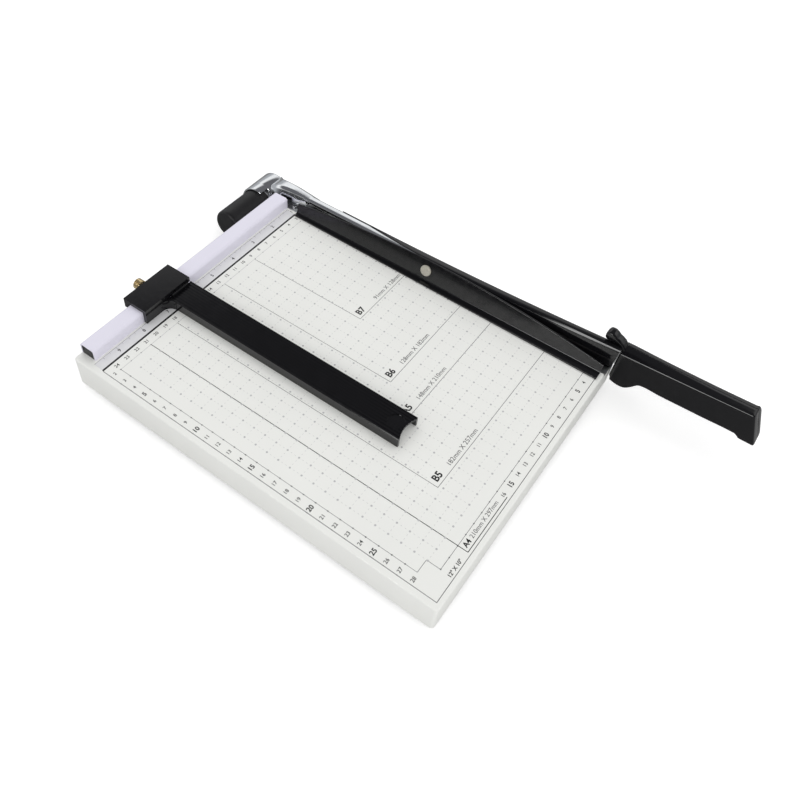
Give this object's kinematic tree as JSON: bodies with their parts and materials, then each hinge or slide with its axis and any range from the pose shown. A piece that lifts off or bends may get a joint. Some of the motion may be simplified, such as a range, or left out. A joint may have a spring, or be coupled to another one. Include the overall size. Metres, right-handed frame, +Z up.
{
  "type": "paper trimmer",
  "caption": "Lever paper trimmer: printed steel board, rear fence with a sliding side gauge, curved blade arm on a sprung pivot, black handle and a rocking paper presser.",
  "frame": {"origin": "centre of the bounding box at the feet", "axes": "+X across the board towards the blade, +Y along the blade away from the user, +Z up"},
  "size_m": [0.2626, 0.4612, 0.0578],
  "materials": {
    "tray_white": "satin powder coat with a printed grid",
    "fence_white": "satin",
    "steel": "ground",
    "zinc": "zinc plated",
    "chrome": "polished",
    "foot_rubber": "matt",
    "black_paint": "gloss",
    "black_plastic": "gloss",
    "dull_plastic": "matt",
    "pad_plastic": "matt",
    "brass": "turned",
    "rivet_grey": "satin"
  },
  "bodies": {
    "base": {"base_tray": "tray_white", "side_rail": "tray_white", "corner_tabs": "tray_white", "bed_knife": "steel", "knife_screws": "zinc", "knife_nuts": "zinc", "rubber_feet": "foot_rubber", "foot_screws": "zinc", "foot_nuts": "zinc", "fence_rail": "fence_white", "fence_blocks": "dull_plastic", "fence_screws": "zinc", "pivot_bracket": "steel", "bracket_screws": "zinc", "bracket_nuts": "zinc", "pivot_bolt": "zinc", "bolt_washer": "zinc", "pivot_spring": "steel", "spring_seat": "zinc", "lock_nut": "zinc", "spring_cover": "dull_plastic"},
    "gauge": {"slider_bracket": "black_plastic", "gauge_arm": "black_plastic", "arm_screws": "zinc", "clamp_pad": "pad_plastic"},
    "thumb_screw": {"thumb_screw": "brass"},
    "lever": {"knife_arm": "chrome", "pivot_bush": "brass", "blade": "steel", "blade_screws": "zinc", "arm_cover": "black_plastic", "presser_rivet": "rivet_grey", "handle_left": "black_plastic", "handle_right": "black_plastic", "handle_screws": "zinc"},
    "presser": {"presser_bar": "black_paint"}
  },
  "joints": [
    {"name": "arm_hinge", "type": "hinge", "parent": "base", "child": "lever", "pos_m": [0.114, 0.21505, 0.0218], "axis": [-1, 0, 0], "range_deg": [0, 70]},
    {"name": "presser_rock", "type": "hinge", "parent": "lever", "child": "presser", "pos_m": [0.10231, 0.03995, 0.03992], "axis": [0.9659, 0, -0.2588], "range_deg": [0, 3.5]},
    {"name": "gauge_slide", "type": "slide", "parent": "base", "child": "gauge", "axis": [1, 0, 0], "range_m": [-0.048, 0.098]},
    {"name": "thumb_screw_turn", "type": "hinge", "parent": "gauge", "child": "thumb_screw", "pos_m": [-0.0513, 0.20555, 0.037], "axis": [0, 1, 0], "range_deg": [-180, 180]}
  ],
  "couplings": [
    {"joint": "presser_rock", "follows": "arm_hinge", "ratio": 0.05}
  ]
}
